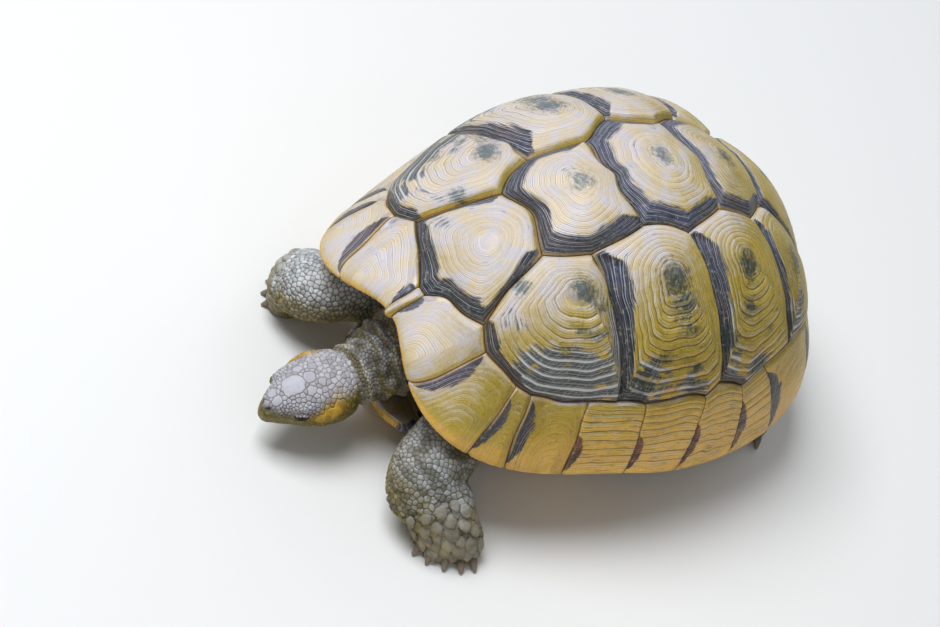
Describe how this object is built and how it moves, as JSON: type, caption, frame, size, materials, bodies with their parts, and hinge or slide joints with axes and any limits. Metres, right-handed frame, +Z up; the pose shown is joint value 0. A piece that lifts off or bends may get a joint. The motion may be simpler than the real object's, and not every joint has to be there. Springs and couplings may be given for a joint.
{
  "type": "tortoise",
  "caption": "Life-size still model of a grown spur-thighed tortoise standing low, head lowered, with a domed shell of horny plates.",
  "frame": {"origin": "on the floor, under the middle of the whole animal", "axes": "+Z up, -Y towards the head, +X towards the animal's left side"},
  "size_m": [0.144, 0.2265, 0.1049],
  "materials": {
    "carapace": "horny plates, straw to ochre with slate-black bands, satin, ringed by growth",
    "plastron": "horny plate, yellow-olive with dark blotches, satin",
    "skin": "scaly hide, lilac-grey on top and olive-ochre below, matt",
    "eye": "wet, nearly black, with a brown iris",
    "claw": "dark horn, worn at the tips"
  },
  "bodies": {
    "root": {"costal_left_1": "carapace", "costal_left_2": "carapace", "costal_left_3": "carapace", "costal_left_4": "carapace", "costal_right_1": "carapace", "costal_right_2": "carapace", "costal_right_3": "carapace", "costal_right_4": "carapace", "eye_left": "eye", "eye_right": "eye", "forefoot_left": "skin", "forefoot_right": "skin", "foreleg_left": "skin", "foreleg_right": "skin", "head": "skin", "hindfoot_left": "skin", "hindfoot_right": "skin", "hindleg_left": "skin", "hindleg_right": "skin", "lower_jaw": "skin", "marginal_left_1": "carapace", "marginal_left_10": "carapace", "marginal_left_11": "carapace", "marginal_left_2": "carapace", "marginal_left_3": "carapace", "marginal_left_4": "carapace", "marginal_left_5": "carapace", "marginal_left_6": "carapace", "marginal_left_7": "carapace", "marginal_left_8": "carapace", "marginal_left_9": "carapace", "marginal_right_1": "carapace", "marginal_right_10": "carapace", "marginal_right_11": "carapace", "marginal_right_2": "carapace", "marginal_right_3": "carapace", "marginal_right_4": "carapace", "marginal_right_5": "carapace", "marginal_right_6": "carapace", "marginal_right_7": "carapace", "marginal_right_8": "carapace", "marginal_right_9": "carapace", "neck": "skin", "nuchal": "carapace", "plastron": "plastron", "supracaudal": "carapace", "tail": "skin", "trunk": "skin", "vertebral_1": "carapace", "vertebral_2": "carapace", "vertebral_3": "carapace", "vertebral_4": "carapace", "vertebral_5": "carapace"}
  },
  "joints": []
}
